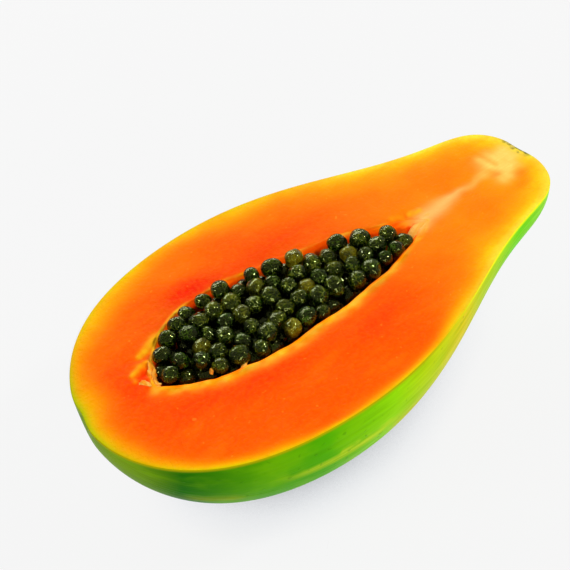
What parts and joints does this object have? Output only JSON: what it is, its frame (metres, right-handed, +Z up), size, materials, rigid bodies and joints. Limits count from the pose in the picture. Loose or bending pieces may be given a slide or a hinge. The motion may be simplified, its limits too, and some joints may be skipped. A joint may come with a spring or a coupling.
{
  "type": "halved papaya",
  "caption": "Half of a ripe papaya cut lengthwise, lying on its skin with the cut face up and dark seeds heaped in its open cavity.",
  "frame": {"origin": "on the surface it rests on, under the middle of its outline", "axes": "+X from the blossom end to the stem end, +Y across the cut face, +Z up; the cut face tips 4.5 degrees down towards the stem end"},
  "size_m": [0.19, 0.1044, 0.0631],
  "materials": {
    "fruit": "moist orange flesh on the cut face, smooth green skin outside",
    "seeds": "wet, dark green to black, in clear gel"
  },
  "bodies": {
    "root": {"fruit": "fruit", "seeds": "seeds"}
  },
  "joints": []
}
